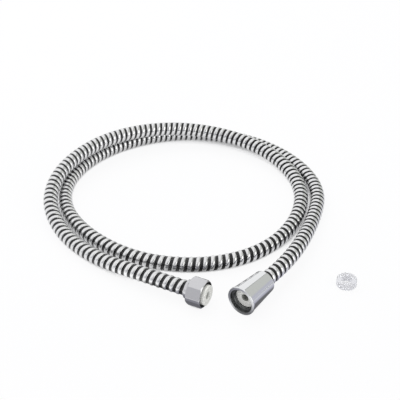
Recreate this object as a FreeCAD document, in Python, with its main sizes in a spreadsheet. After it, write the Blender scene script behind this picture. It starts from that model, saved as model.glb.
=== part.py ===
import FreeCAD, Part
import math
import os
import re

import Sketcher

# A flexible shower hose, 1.5 m long, lying in two loose turns on the floor, with a hexagon nut on
# one end, a long cone nut on the other and one loose sealing washer beside it. Millimetres, +Z up,
# the floor at Z = 0 and the origin on the floor at the middle of the whole lay.

Vector = FreeCAD.Vector
UP = Vector(0, 0, 1)

# Driving sizes: name, value, meaning
SIZES = [
    # Layers of the hose, from the water outwards
    ("water_bore", 8.0, "bore of the inner tube"),
    ("inner_tube_wall", 1.2, "wall of the inner tube"),
    ("braid_wall", 0.4, "thickness of the yarn reinforcement"),
    ("cover_wall", 0.8, "cover at the bottom of its grooves"),
    ("rib_height", 0.5, "how far a rib stands over the groove"),
    ("layer_clearance", 0.05, "play between layers and under the ferrules"),
    ("rib_pitch", 7.4, "from one rib to the next"),
    ("rib_crest", 4.0, "length of a rib's crest along the hose"),
    ("rib_flank", 0.8, "length of each flank of a rib along the hose"),
    ("plain_end", 20.0, "least stretch without ribs at each end of the hose"),
    ("floor_flat", 0.5, "how deep the ribs are cut flat where they lie on the floor"),
    # Crimped ferrules
    ("ferrule_wall", 0.6, "wall of a ferrule"),
    ("ferrule_length", 16.0, "length of a ferrule"),
    # Flanged inserts
    ("flange_diameter", 18.4, "flange of an insert"),
    ("flange_thickness", 3.5, "thickness of the flange"),
    ("insert_bore", 6.0, "bore of an insert"),
    ("insert_mouth", 7.0, "widened mouth of that bore"),
    ("insert_mouth_depth", 1.0, "depth of the widened mouth"),
    ("tail_length", 18.0, "barbed tail inside the hose"),
    ("barb_height", 0.35, "how far a barb stands over the tail"),
    ("barb_pitch", 4.5, "from one barb to the next"),
    # Slip rings behind the flanges
    ("ring_thickness", 2.0, "thickness of a slip ring"),
    ("ring_nut_play", 0.06, "play of a slip ring in its nut, on the radius"),
    ("ferrule_play", 0.6, "play of a slip ring or a nut over the ferrule, on the radius"),
    # Pipe thread G 1/2
    ("thread_minor", 18.63, "minor diameter of the internal thread"),
    ("thread_relief", 19.3, "relief behind the thread"),
    ("mouth_bore", 22.6, "counterbore in front of the thread"),
    ("mouth_bore_depth", 2.4, "depth of that counterbore"),
    # Hexagon nut
    ("hex_across_flats", 24.0, "hexagon nut across its flats"),
    ("hex_corner_diameter", 26.2, "bar that the hexagon is milled from, which rounds its corners"),
    ("hex_nut_length", 18.2, "hexagon nut, overall length"),
    ("hex_collar_length", 3.8, "tapered collar behind the hexagon"),
    ("hex_collar_diameter", 19.0, "diameter of that collar at the hexagon"),
    ("hex_collar_rear_diameter", 17.0, "and at its rear end"),
    ("hex_chamfer", 1.1, "chamfer at both ends of the hexagon, along the axis"),
    ("hex_mouth_depth", 13.6, "from the mouth to the shoulder inside"),
    ("hex_thread_length", 9.0, "threaded length, counterbore included"),
    ("hex_setback", 2.5, "how far the flange stands out of the nut's mouth"),
    # Cone nut
    ("cone_mouth_diameter", 27.8, "cone nut at its mouth rim"),
    ("cone_rim_length", 1.6, "length of the rim"),
    ("cone_rim_step", 0.5, "how far the rim stands over the cone"),
    ("cone_rear_diameter", 21.2, "cone nut at its rear end"),
    ("cone_nut_length", 35.7, "cone nut, overall length"),
    ("cone_rear_chamfer", 1.2, "chamfer at the rear end"),
    ("cone_mouth_depth", 14.0, "from the mouth to the shoulder inside"),
    ("cone_thread_length", 5.6, "threaded length, counterbore included"),
    ("cone_recess", 5.8, "how deep the flange lies inside the mouth"),
    # Loose sealing washer
    ("washer_diameter", 18.4, "washer, outside"),
    ("washer_hole", 9.4, "washer, hole"),
    ("washer_thickness", 6.5, "washer, thickness"),
    ("washer_x", 138.3, "where the middle of the washer lies"),
    ("washer_y", -103.5, "and its place from front to back"),
]

document = FreeCAD.newDocument("ShowerHose")
sheet = document.addObject("Spreadsheet::Sheet", "Sizes")
for row, (name, value, meaning) in enumerate(SIZES, start=1):
    sheet.set(f"A{row}", name)
    sheet.set(f"B{row}", str(value))
    sheet.set(f"C{row}", meaning)
    sheet.setAlias(f"B{row}", name)
document.recompute()
SIZE_NAMES = {entry[0] for entry in SIZES}


def size(name):
    """The value of one named size of the sheet."""
    return float(getattr(sheet, name))


def bound(text):
    """An expression in which every name of a size points at its cell."""
    return re.sub("[a-z_]+", lambda word: f"Sizes.{word[0]}" if word[0] in SIZE_NAMES else word[0], text)


# Radii of the hose's layers, and the heights of its middle line on the floor and at the two nuts

bore_radius = size("water_bore") / 2
tube_radius = bore_radius + size("inner_tube_wall")
braid_bore_radius = tube_radius + size("layer_clearance")
braid_radius = braid_bore_radius + size("braid_wall")
cover_bore_radius = braid_radius + size("layer_clearance")
groove_radius = cover_bore_radius + size("cover_wall")
crest_radius = groove_radius + size("rib_height")

FLOOR = crest_radius - size("floor_flat")
HEX_AXIS = size("hex_across_flats") / 2
CONE_AXIS = size("cone_mouth_diameter") / 2

# The hose's middle line, chosen by hand from the hexagon nut's end to the cone nut's end. It climbs
# over itself at the far left and comes down again along the far side.
ROUTE = [
    (10.4, -132, HEX_AXIS), (-40.6, -106, HEX_AXIS), (-90.6, -76, 8), (-126.6, -34, FLOOR),
    (-143.6, 11, 14.5), (-131.6, 60, 22), (-92.6, 108, 24), (-33.6, 136, 20.5), (28.4, 132, 16),
    (80.4, 99, 13), (109.4, 46, 8), (102.4, -12, FLOOR), (68.4, -63, FLOOR), (12.4, -86, FLOOR),
    (-49.6, -78, FLOOR), (-100.6, -40, FLOOR), (-129.6, 11, FLOOR), (-125.6, 66, FLOOR),
    (-92.6, 114, FLOOR), (-40.6, 143, FLOOR), (17.4, 146.6, FLOOR), (69.4, 125, FLOOR),
    (107.4, 86, FLOOR), (126.4, 37, FLOOR), (116.4, -15, 8), (91.4, -81, CONE_AXIS),
    (47.4, -136.4, CONE_AXIS),
]
ARC_SHARE = 0.45
route_points = [Vector(*point) for point in ROUTE]


def middle_line(points):
    """Straight runs joined by tangent arcs, as edges, and the radius of each arc."""
    edges = []
    radii = []
    last = points[0]
    for before, corner, after in zip(points, points[1:], points[2:]):
        back = before - corner
        ahead = after - corner
        setback = ARC_SHARE * min(back.Length, ahead.Length)
        half_turn = (math.pi - back.getAngle(ahead)) / 2
        radius = setback / math.tan(half_turn)
        back.normalize()
        ahead.normalize()
        start = corner + back * setback
        end = corner + ahead * setback
        inward = (back + ahead).normalize()
        middle = corner + inward * (math.hypot(radius, setback) - radius)
        edges.append(Part.LineSegment(last, start).toShape())
        edges.append(Part.Arc(start, middle, end).toShape())
        radii.append(radius)
        last = end
    edges.append(Part.LineSegment(last, points[-1]).toShape())
    return edges, radii


line_edges, bend_radii = middle_line(route_points)
line_wire = Part.Wire(line_edges)
hose_length = line_wire.Length


def station(distance):
    """The point and the direction of the middle line at a distance from its start."""
    left = distance
    for edge in line_edges:
        if left <= edge.Length:
            break
        left -= edge.Length
    parameter = edge.getParameterByLength(min(left, edge.Length))
    return edge.valueAt(parameter), edge.tangentAt(parameter)


def least_gap(diameter):
    """The least gap between two stretches of the hose, measured on points of its middle line."""
    step = 3.0
    apart = int(6 * diameter / step)
    points = [station(step * k)[0] for k in range(int(hose_length / step))]
    return min(points[i].distanceToPoint(points[j])
               for i in range(len(points)) for j in range(i + apart, len(points))) - diameter


# The hose

def ring_at(distance, radius):
    """A circle round the middle line, with its X axis level."""
    centre, along = station(distance)
    level = UP.cross(along).normalize()
    circle = Part.Wire(Part.makeCircle(radius))
    circle.Placement = FreeCAD.Placement(centre, FreeCAD.Rotation(level, Vector(), along, "ZXY"))
    return circle


def swept(radius, solid):
    """A round bar along the middle line, or only its skin."""
    pipe = Part.BRepOffsetAPI.MakePipeShell(line_wire)
    pipe.add(ring_at(0, radius))
    pipe.build()
    if solid:
        pipe.makeSolid()
    return pipe.shape()


def tube(outer_radius, inner_radius):
    """A plain tube along the middle line, closed by a flat ring at each end."""
    ends = [Part.Face([ring_at(place, outer_radius), ring_at(place, inner_radius)],
                      "Part::FaceMakerBullseye") for place in (0, hose_length)]
    shell = Part.makeShell(swept(outer_radius, False).Faces + swept(inner_radius, False).Faces + ends)
    shell.sewShape()
    solid = Part.Solid(shell)
    if solid.Volume < 0:
        solid.reverse()
    return solid


def ribbed_bar():
    """The outside of the cover: a bar with plain ends and ribs, flat where it lies on the floor."""
    pitch, flank, crest = size("rib_pitch"), size("rib_flank"), size("rib_crest")
    count = int((hose_length - 2 * size("plain_end")) / pitch)
    first = (hose_length - count * pitch) / 2
    profile = [(0, groove_radius), (flank, crest_radius), (flank + crest, crest_radius),
               (2 * flank + crest, groove_radius)]
    rings = [ring_at(0, groove_radius)]
    for rib in range(count):
        rings += [ring_at(first + rib * pitch + offset, radius) for offset, radius in profile]
    rings.append(ring_at(hose_length, groove_radius))
    print(f"ribs: {count}")
    bar = Part.makeLoft(rings, True, True)
    reach = 2 * hose_length
    ground = Part.makeBox(reach, reach, crest_radius, Vector(-reach / 2, -reach / 2, -crest_radius))
    return bar.cut(ground).Solids[0]


def hose_layer(label, shape):
    """One layer of the hose as an object of the document."""
    layer = document.addObject("Part::Feature", label)
    layer.Label = label
    layer.Shape = shape
    layer.Placement = FreeCAD.Placement()
    return layer


inner_tube = hose_layer("inner_tube", tube(tube_radius, bore_radius))
reinforcement = hose_layer("reinforcement_braid", tube(braid_radius, braid_bore_radius))
ribbed_cover = hose_layer("ribbed_cover", ribbed_bar().cut(swept(cover_bore_radius, True)).Solids[0])


# Turned pieces: each is a body turned about its own Z axis, from an outline of (radius, height)

def origin_plane(body, role):
    """One of the origin planes of a body."""
    return next(f for f in body.Origin.OriginFeatures if f.Role == role)


def sketch_on(body, role, name):
    """An empty sketch on one of the body's own origin planes."""
    sketch = body.newObject("Sketcher::SketchObject", name)
    sketch.AttachmentSupport = [(origin_plane(body, role), "")]
    sketch.MapMode = "FlatFace"
    return sketch


def closed_lines(sketch, points):
    """Draw a closed chain of lines in a sketch; line k starts at point k."""
    for start, end in zip(points, points[1:] + points[:1]):
        sketch.addGeometry(Part.LineSegment(start, end), False)
    for k in range(len(points)):
        sketch.addConstraint(Sketcher.Constraint("Coincident", k, 2, (k + 1) % len(points), 1))


def turned_body(label, corners):
    """A turned body; the radius and height of each corner are expressions in the named sizes."""
    body = document.addObject("PartDesign::Body", label)
    body.Label = label
    sketch = sketch_on(body, "XZ_Plane", f"{label}_outline")
    turn = 2 * math.pi / len(corners)
    closed_lines(sketch, [Vector(20 + 5 * math.cos(k * turn), 20 + 5 * math.sin(k * turn), 0)
                          for k in range(len(corners))])
    for k, (radius, height) in enumerate(corners):
        for kind, axis, text in (("DistanceX", -2, radius), ("DistanceY", -1, height)):
            if text == "0":
                sketch.addConstraint(Sketcher.Constraint("PointOnObject", k, 1, axis))
            else:
                number = sketch.addConstraint(Sketcher.Constraint(kind, -1, 1, k, 1, 20.0))
                sketch.setExpression(f"Constraints[{number}]", bound(text))
    document.recompute()
    turning = body.newObject("PartDesign::Revolution", f"{label}_turning")
    turning.Profile = sketch
    turning.ReferenceAxis = (sketch, ["V_Axis"])
    turning.Angle = 360
    document.recompute()
    return body


# Where the ends of the hose stand: local Z runs out of the hose and local Y points up

def end_placement(tip, before, distance):
    """A placement on an end's axis, a distance outwards from the hose's end face."""
    outwards = (tip - before).normalize()
    turned = FreeCAD.Rotation(UP.cross(outwards), UP, outwards, "ZYX")
    return FreeCAD.Placement(tip + outwards * distance, turned)


def hex_end(distance):
    """A placement on the hexagon nut's axis."""
    return end_placement(route_points[0], route_points[1], distance)


def cone_end(distance):
    """A placement on the cone nut's axis."""
    return end_placement(route_points[-1], route_points[-2], distance)


# Radii shared by what sits on the ends of the hose

COVER_END = "water_bore / 2 + inner_tube_wall + braid_wall + cover_wall + 2 * layer_clearance"
FERRULE_BORE = f"{COVER_END} + layer_clearance"
FERRULE_OUTSIDE = f"{FERRULE_BORE} + ferrule_wall"
PASSAGE = f"{FERRULE_OUTSIDE} + ferrule_play"
BARB = "water_bore / 2 - layer_clearance"
TAIL = f"{BARB} - barb_height"
BARBS = 3


def insert(label, place):
    """A flanged insert: its barbed tail lies in the hose and its flange on the hose's end face."""
    corners = [("insert_bore / 2", "0"), (TAIL, "0")]
    for barb in range(1, BARBS + 1):
        corners += [(BARB, f"{barb} * barb_pitch"), (TAIL, f"{barb} * barb_pitch + layer_clearance")]
    front = "tail_length + flange_thickness"
    corners += [
        (TAIL, "tail_length"),
        ("flange_diameter / 2", "tail_length"),
        ("flange_diameter / 2", front),
        ("insert_mouth / 2", front),
        ("insert_mouth / 2", f"{front} - insert_mouth_depth"),
        ("insert_bore / 2", f"{front} - insert_mouth_depth"),
    ]
    body = turned_body(label, corners)
    body.Placement = place(-size("tail_length"))
    return body


def ferrule(label, place):
    """A crimped sleeve over the plain end of the cover, up against the flange."""
    body = turned_body(label, [
        (FERRULE_BORE, "0"), (FERRULE_OUTSIDE, "0"),
        (FERRULE_OUTSIDE, "ferrule_length"), (FERRULE_BORE, "ferrule_length"),
    ])
    body.Placement = place(-size("ferrule_length"))
    return body


def slip_ring(label, place, shoulder):
    """A ring that lies on the nut's shoulder and slides over the ferrule."""
    outside = "thread_relief / 2 - ring_nut_play"
    body = turned_body(label, [
        (PASSAGE, "0"), (outside, "0"), (outside, "ring_thickness"), (PASSAGE, "ring_thickness"),
    ])
    body.Placement = place(shoulder)
    return body


def nut_inside(length, mouth_depth, thread_length):
    """The inside of a nut, from its mouth at the height of its length to its rear end at 0."""
    return [
        ("mouth_bore / 2", length),
        ("mouth_bore / 2", f"{length} - mouth_bore_depth"),
        ("thread_minor / 2", f"{length} - mouth_bore_depth"),
        ("thread_minor / 2", f"{length} - {thread_length}"),
        ("thread_relief / 2", f"{length} - {thread_length}"),
        ("thread_relief / 2", f"{length} - {mouth_depth}"),
        (PASSAGE, f"{length} - {mouth_depth}"),
        (PASSAGE, "0"),
    ]


# Tap end: insert, ferrule, slip ring and hexagon nut

hex_mouth = size("flange_thickness") - size("hex_setback")
insert("tap_insert", hex_end)
ferrule("tap_ferrule", hex_end)
slip_ring("tap_slip_ring", hex_end, hex_mouth - size("hex_mouth_depth"))

HEX_CORNER = "hex_across_flats / sqrt(3)"
hex_nut = turned_body("hex_nut", [
    ("hex_collar_rear_diameter / 2", "0"),
    ("hex_collar_diameter / 2", "hex_collar_length"),
    ("hex_across_flats / 2", "hex_collar_length"),
    ("hex_corner_diameter / 2", "hex_collar_length + hex_chamfer"),
    ("hex_corner_diameter / 2", "hex_nut_length - hex_chamfer"),
    ("hex_across_flats / 2", "hex_nut_length"),
] + nut_inside("hex_nut_length", "hex_mouth_depth", "hex_thread_length"))
round_blank_volume = hex_nut.Shape.Volume

flats = sketch_on(hex_nut, "XY_Plane", "hex_nut_flats_outline")
corner_radius = size("hex_across_flats") / math.sqrt(3)
closed_lines(flats, [Vector(corner_radius * math.cos(math.radians(60 * k)),
                            corner_radius * math.sin(math.radians(60 * k)), 0) for k in range(6)])
corner_circle = flats.addGeometry(Part.Circle(Vector(), Vector(0, 0, 1), corner_radius), True)
waste_circle = flats.addGeometry(Part.Circle(Vector(), Vector(0, 0, 1), 2 * corner_radius), False)
for circle, text in ((corner_circle, HEX_CORNER), (waste_circle, f"2 * {HEX_CORNER}")):
    flats.addConstraint(Sketcher.Constraint("Coincident", circle, 3, -1, 1))
    number = flats.addConstraint(Sketcher.Constraint("Radius", circle, corner_radius))
    flats.setExpression(f"Constraints[{number}]", bound(text))
for side in range(6):
    flats.addConstraint(Sketcher.Constraint("PointOnObject", side, 1, corner_circle))
for side in range(1, 6):
    flats.addConstraint(Sketcher.Constraint("Equal", 0, side))
flats.addConstraint(Sketcher.Constraint("Horizontal", 1))
document.recompute()
milling = hex_nut.newObject("PartDesign::Pocket", "hex_nut_flats")
milling.Profile = flats
milling.Type = "ThroughAll"
milling.Reversed = True
document.recompute()
if hex_nut.Shape.Volume > 0.98 * round_blank_volume:
    raise RuntimeError("the flats of the hexagon nut were not cut")
hex_nut.Placement = hex_end(hex_mouth - size("hex_nut_length"))

# Hand shower end: insert, ferrule, slip ring and cone nut

cone_mouth = size("flange_thickness") + size("cone_recess")
insert("handset_insert", cone_end)
ferrule("handset_ferrule", cone_end)
slip_ring("handset_slip_ring", cone_end, cone_mouth - size("cone_mouth_depth"))
cone_nut = turned_body("cone_nut", [
    ("cone_rear_diameter / 2 - cone_rear_chamfer", "0"),
    ("cone_rear_diameter / 2", "cone_rear_chamfer"),
    ("cone_mouth_diameter / 2 - cone_rim_step", "cone_nut_length - cone_rim_length"),
    ("cone_mouth_diameter / 2", "cone_nut_length - cone_rim_length"),
    ("cone_mouth_diameter / 2", "cone_nut_length"),
] + nut_inside("cone_nut_length", "cone_mouth_depth", "cone_thread_length"))
cone_nut.Placement = cone_end(cone_mouth - size("cone_nut_length"))

# Loose washer

washer = turned_body("sealing_washer", [
    ("washer_hole / 2", "0"), ("washer_diameter / 2", "0"),
    ("washer_diameter / 2", "washer_thickness"), ("washer_hole / 2", "washer_thickness"),
])
washer.Placement = FreeCAD.Placement(Vector(size("washer_x"), size("washer_y"), 0), FreeCAD.Rotation())

# Checks and files

document.recompute()
parts = [item for item in document.Objects
         if item.TypeId == "PartDesign::Body" or item in (inner_tube, reinforcement, ribbed_cover)]
for item in document.Objects:
    if "Invalid" in item.State or "Error" in item.State:
        raise RuntimeError(f"{item.Label} failed")
for item in parts:
    if item.Shape.isNull() or not item.Shape.isValid() or len(item.Shape.Solids) != 1:
        raise RuntimeError(f"{item.Label} has no single valid solid")

print(f"hose length: {hose_length:.1f}")
print("bend radii:", " ".join(f"{radius:.0f}" for radius in bend_radii))
print(f"least gap of the hose to itself: {least_gap(2 * crest_radius):.2f}")
for layer, outer, inner in ((inner_tube, tube_radius, bore_radius),
                            (reinforcement, braid_radius, braid_bore_radius)):
    expected = math.pi * (outer ** 2 - inner ** 2) * hose_length
    print(f"{layer.Label}: volume {layer.Shape.Volume:.0f}, section times length {expected:.0f}")
smallest = math.pi * (groove_radius ** 2 - cover_bore_radius ** 2) * hose_length
largest = math.pi * (crest_radius ** 2 - cover_bore_radius ** 2) * hose_length
print(f"ribbed_cover: volume {ribbed_cover.Shape.Volume:.0f}, between {smallest:.0f} and {largest:.0f}")

os.makedirs("parts", exist_ok=True)
for item in parts:
    item.Shape.exportStep(f"parts/{item.Label}.step")
print("parts:", " ".join(item.Label for item in parts))
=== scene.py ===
"""A shower hose in two loose turns with its two nuts and a loose washer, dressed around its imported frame."""

import logging
import math
from collections.abc import Callable, Iterable, Sequence
from dataclasses import dataclass, field
from enum import Enum

import bmesh
import bpy
from mathutils import Matrix, Vector


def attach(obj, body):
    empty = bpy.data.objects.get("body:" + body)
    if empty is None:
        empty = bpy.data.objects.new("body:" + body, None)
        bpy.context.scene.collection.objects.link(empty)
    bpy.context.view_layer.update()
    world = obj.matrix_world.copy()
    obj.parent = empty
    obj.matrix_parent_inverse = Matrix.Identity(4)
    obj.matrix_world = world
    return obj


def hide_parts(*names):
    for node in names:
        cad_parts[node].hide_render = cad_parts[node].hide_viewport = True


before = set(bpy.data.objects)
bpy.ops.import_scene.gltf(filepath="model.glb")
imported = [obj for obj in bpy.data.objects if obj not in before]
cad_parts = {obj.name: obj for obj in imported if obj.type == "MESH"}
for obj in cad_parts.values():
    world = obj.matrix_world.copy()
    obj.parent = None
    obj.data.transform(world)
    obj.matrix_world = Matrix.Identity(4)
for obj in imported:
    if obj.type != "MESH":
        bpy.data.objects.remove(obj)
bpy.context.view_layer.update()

LOG = logging.getLogger("shower_hose")
MM = 0.001
TINY = 1e-6
UPWARDS = (0.0, 0.0, 1.0)
TURNED_UV = "turned"

Colour = tuple[float, float, float]
Feed = bpy.types.NodeSocket | float | str | Sequence[float]

# The route of the hose: the control points of its middle line, from the tap end to the hand shower end. The
# second point and the last but one keep it straight where it runs in its nuts.

HEX_AXIS = 12.0 * MM
CONE_AXIS = 13.9 * MM
LYING = 6.5 * MM
ROUTE = (
    (0.0104, -0.132, HEX_AXIS), (0.0053, -0.1294, HEX_AXIS), (-0.0406, -0.106, HEX_AXIS),
    (-0.0906, -0.076, 0.008), (-0.1266, -0.034, LYING), (-0.1436, 0.011, 0.0145),
    (-0.1316, 0.060, 0.022), (-0.0926, 0.108, 0.024), (-0.0336, 0.136, 0.0205),
    (0.0284, 0.132, 0.016), (0.0804, 0.099, 0.013), (0.1094, 0.046, 0.008),
    (0.1024, -0.012, LYING), (0.0684, -0.063, LYING), (0.0124, -0.086, LYING),
    (-0.0496, -0.078, LYING), (-0.1006, -0.040, LYING), (-0.1296, 0.011, LYING),
    (-0.1256, 0.066, LYING), (-0.0926, 0.114, LYING), (-0.0406, 0.143, LYING),
    (0.0174, 0.1466, LYING), (0.0694, 0.125, LYING), (0.1074, 0.086, LYING),
    (0.1264, 0.037, LYING), (0.1164, -0.015, 0.008), (0.0914, -0.081, CONE_AXIS),
    (0.0518, -0.13086, CONE_AXIS), (0.0474, -0.1364, CONE_AXIS),
)


class Body(Enum):
    """The moving bodies that the pieces ride on."""

    HOSE = "hose"
    TAP_RING = "tap_ring"
    TAP_NUT = "tap_nut"
    HANDSET_RING = "handset_ring"
    HANDSET_NUT = "handset_nut"


class Slot(Enum):
    """Names of the material slots."""

    COVER = "silver_pvc"
    YARN = "yarn"
    TUBE = "tube_pvc"
    INSERT = "insert_plastic"
    FERRULE = "ferrule_steel"
    RING = "ring_plastic"
    CHROME = "chrome"
    WASHER = "clear_silicone"


class Wiring:
    """Places nodes in a node tree, and links them."""

    def __init__(self, tree: bpy.types.NodeTree) -> None:
        """Start in a tree."""
        self.nodes = tree.nodes
        self.links = tree.links

    def feed(self, sockets: Iterable[bpy.types.NodeSocket], values: Iterable[Feed]) -> None:
        """Link sockets and set plain values, in order."""
        for socket, value in zip(sockets, values):
            if isinstance(value, bpy.types.NodeSocket):
                self.links.new(value, socket)
            else:
                socket.default_value = value

    def fill(self, node: bpy.types.Node, inputs: dict[str, Feed]) -> None:
        """Feed a node's inputs by name."""
        self.feed([node.inputs[name] for name in inputs], inputs.values())

    def node(self, kind: str, inputs: dict[str, Feed] | None = None, **options: object) -> bpy.types.Node:
        """Place a node.

        Args:
            kind: Its type.
            inputs: What its inputs take, by name.
            **options: Its settings.

        Returns:
            The node.
        """
        node = self.nodes.new(kind)
        for option, value in options.items():
            setattr(node, option, value)
        self.fill(node, inputs or {})
        return node

    def math(self, operation: str, *values: Feed, clamp: bool = False) -> bpy.types.NodeSocket:
        """Place a Math node and feed it."""
        node = self.node("ShaderNodeMath", operation=operation, use_clamp=clamp)
        self.feed(node.inputs, values)
        return node.outputs[0]

    def vector(self, operation: str, *values: Feed) -> bpy.types.NodeSocket:
        """Place a Vector Math node and feed it."""
        node = self.node("ShaderNodeVectorMath", operation=operation)
        self.feed(node.inputs, values)
        return node.outputs["Value" if operation in ("LENGTH", "DOT_PRODUCT") else "Vector"]

    def scaled(self, vector: Feed, factor: Feed) -> bpy.types.NodeSocket:
        """Place a Vector Math node that scales a vector."""
        node = self.node("ShaderNodeVectorMath", {"Vector": vector, "Scale": factor}, operation="SCALE")
        return node.outputs["Vector"]

    def step(self, value: Feed, low: float, high: float) -> bpy.types.NodeSocket:
        """Place a Map Range node that rises smoothly from 0 at low to 1 at high."""
        node = self.node("ShaderNodeMapRange", {"Value": value, "From Min": low, "From Max": high},
                         interpolation_type="SMOOTHSTEP")
        return node.outputs["Result"]

    def mixed(self, factor: Feed, first: Feed, second: Feed) -> bpy.types.NodeSocket:
        """Place a Mix node between two colours."""
        node = self.node("ShaderNodeMix", {"Factor": factor}, data_type="RGBA")
        self.feed([socket for socket in node.inputs if socket.type == "RGBA"], (first, second))
        return next(socket for socket in node.outputs if socket.type == "RGBA")


# Shader groups that several finishes share


def shared_group(name: str, numbers: Sequence[str],
                 result: Callable[[Wiring, bpy.types.Node], bpy.types.NodeSocket]) -> bpy.types.NodeTree:
    """Find a shader group by its name, or make it where it is asked for the first time.

    Args:
        name: Name of the group.
        numbers: Its inputs after Vector.
        result: Places its nodes after the Group Input node, and gives the socket of its output, Value.

    Returns:
        The group.
    """
    group = bpy.data.node_groups.get(name)
    if group:
        return group
    group = bpy.data.node_groups.new(name, "ShaderNodeTree")
    group.interface.new_socket("Vector", in_out="INPUT", socket_type="NodeSocketVector")
    for label in numbers:
        group.interface.new_socket(label, in_out="INPUT", socket_type="NodeSocketFloat")
    group.interface.new_socket("Value", in_out="OUTPUT", socket_type="NodeSocketFloat")
    wiring = Wiring(group)
    value = result(wiring, wiring.node("NodeGroupInput"))
    wiring.node("NodeGroupOutput", {"Value": value})
    return group


def uneven_spread(wiring: Wiring, source: bpy.types.Node) -> bpy.types.NodeSocket:
    """Spread a value such as roughness unevenly between Low and High, in waves of Scale per metre."""
    vector, scale, low, high = (source.outputs[name] for name in ("Vector", "Scale", "Low", "High"))
    noise = wiring.node("ShaderNodeTexNoise", {"Vector": vector, "Scale": scale, "Detail": 4.0})
    spread = wiring.node("ShaderNodeMapRange", {
        "Value": noise.outputs["Fac"], "From Min": 0.3, "From Max": 0.7, "To Min": low, "To Max": high})
    return spread.outputs["Result"]


def round_lines(wiring: Wiring, source: bpy.types.Node) -> bpy.types.NodeSocket:
    """Draw the fine lines that turning and polishing leave round a piece, from its own UV map."""
    vector, lines, wander = (source.outputs[name] for name in ("Vector", "Lines", "Wander"))
    scales = wiring.node("ShaderNodeCombineXYZ", {"X": wander, "Y": lines})
    stretched = wiring.vector("MULTIPLY", vector, scales.outputs["Vector"])
    noise = wiring.node("ShaderNodeTexNoise", {"Vector": stretched, "Scale": 1.0, "Detail": 3.0})
    return noise.outputs["Fac"]


@dataclass(frozen=True)
class Grain:
    """How a value varies over a surface: its waves per metre, and its lowest and highest value."""

    scale: float
    low: float = 0.0
    high: float = 1.0


class Shader(Wiring):
    """A material under construction: one Principled BSDF and what feeds it."""

    def __init__(self, name: str, color: Colour) -> None:
        """Start a material with a plain colour."""
        self.material = bpy.data.materials.new(name)
        self.material.use_nodes = True
        super().__init__(self.material.node_tree)
        self.surface = self.nodes["Principled BSDF"]
        self.set(Base_Color=(*color, 1.0))
        self.where = self.node("ShaderNodeTexCoord").outputs["Object"]

    def set(self, **values: Feed) -> None:
        """Set or link inputs of the surface; an underscore in a name stands for a space."""
        self.fill(self.surface, {name.replace("_", " "): value for name, value in values.items()})

    def grain(self, spread: Grain) -> bpy.types.NodeSocket:
        """Place the grain group on the object's own coordinates."""
        group = shared_group("grain", ("Scale", "Low", "High"), uneven_spread)
        inputs = {"Vector": self.where, "Scale": spread.scale, "Low": spread.low, "High": spread.high}
        return self.node("ShaderNodeGroup", inputs, node_tree=group).outputs["Value"]

    def turning(self, lines: float, wander: float) -> bpy.types.NodeSocket:
        """Place the group of turning lines on the piece's turned UV map."""
        group = shared_group("turning_lines", ("Lines", "Wander"), round_lines)
        turned = self.node("ShaderNodeUVMap", uv_map=TURNED_UV).outputs["UV"]
        inputs = {"Vector": turned, "Lines": lines, "Wander": wander}
        return self.node("ShaderNodeGroup", inputs, node_tree=group).outputs["Value"]

    def bump(self, height: bpy.types.NodeSocket, distance: float) -> None:
        """Raise the surface by a height from 0 to 1, where 1 stands for a distance in metres."""
        bump = self.node("ShaderNodeBump", {"Height": height, "Distance": distance})
        self.set(Normal=bump.outputs["Normal"])

    def tint(self, factor: bpy.types.NodeSocket, first: Colour, second: Colour) -> None:
        """Vary the base colour between two colours."""
        self.set(Base_Color=self.mixed(factor, (*first, 1.0), (*second, 1.0)))


# The finishes


@dataclass(frozen=True)
class ChromeFinish:
    """Bright chrome plate with faint polishing lines and a few dull patches."""

    name: str
    color: Colour = (0.80, 0.81, 0.82)
    dullness: Grain = Grain(180.0, 0.05, 0.12)
    lines: float = 2500.0
    wander: float = 5.0
    line_depth: float = 0.002 * MM

    def build(self) -> bpy.types.Material:
        """Make the material."""
        shader = Shader(self.name, self.color)
        shader.set(Metallic=1.0, Roughness=shader.grain(self.dullness))
        shader.bump(shader.turning(self.lines, self.wander), self.line_depth)
        return shader.material


@dataclass(frozen=True)
class PlasticFinish:
    """Moulded plastic with a soft sheen, fine texture and slight clouding."""

    name: str
    color: Colour
    clouded: Colour
    clouding: Grain = Grain(160.0)
    dullness: Grain = Grain(900.0, 0.32, 0.44)
    texture: Grain = Grain(2600.0)
    texture_depth: float = 0.002 * MM

    def build(self) -> bpy.types.Material:
        """Make the material."""
        shader = Shader(self.name, self.color)
        shader.set(Roughness=shader.grain(self.dullness))
        shader.tint(shader.grain(self.clouding), self.color, self.clouded)
        shader.bump(shader.grain(self.texture), self.texture_depth)
        return shader.material


@dataclass(frozen=True)
class SteelFinish:
    """Satin steel, as drawn and crimped."""

    name: str
    color: Colour = (0.60, 0.60, 0.60)
    dullness: Grain = Grain(500.0, 0.22, 0.40)
    lines: float = 4000.0
    wander: float = 20.0
    line_depth: float = 0.004 * MM

    def build(self) -> bpy.types.Material:
        """Make the material."""
        shader = Shader(self.name, self.color)
        shader.set(Metallic=1.0, Roughness=shader.grain(self.dullness))
        shader.bump(shader.turning(self.lines, self.wander), self.line_depth)
        return shader.material


@dataclass(frozen=True)
class SilverStripFinish:
    """Bright foil strip seen through clear glossy PVC."""

    name: str
    color: Colour = (0.80, 0.80, 0.805)
    worn: Colour = (0.76, 0.765, 0.775)
    wear: Grain = Grain(60.0)
    dullness: Grain = Grain(700.0, 0.08, 0.17)
    ripple: Grain = Grain(500.0)
    ripple_depth: float = 0.02 * MM

    def build(self) -> bpy.types.Material:
        """Make the material."""
        shader = Shader(self.name, self.color)
        shader.set(Metallic=0.95, Coat_Weight=0.6, Coat_Roughness=0.04, Coat_IOR=1.53)
        shader.set(Roughness=shader.grain(self.dullness))
        shader.tint(shader.grain(self.wear), self.color, self.worn)
        shader.bump(shader.grain(self.ripple), self.ripple_depth)
        return shader.material


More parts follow.
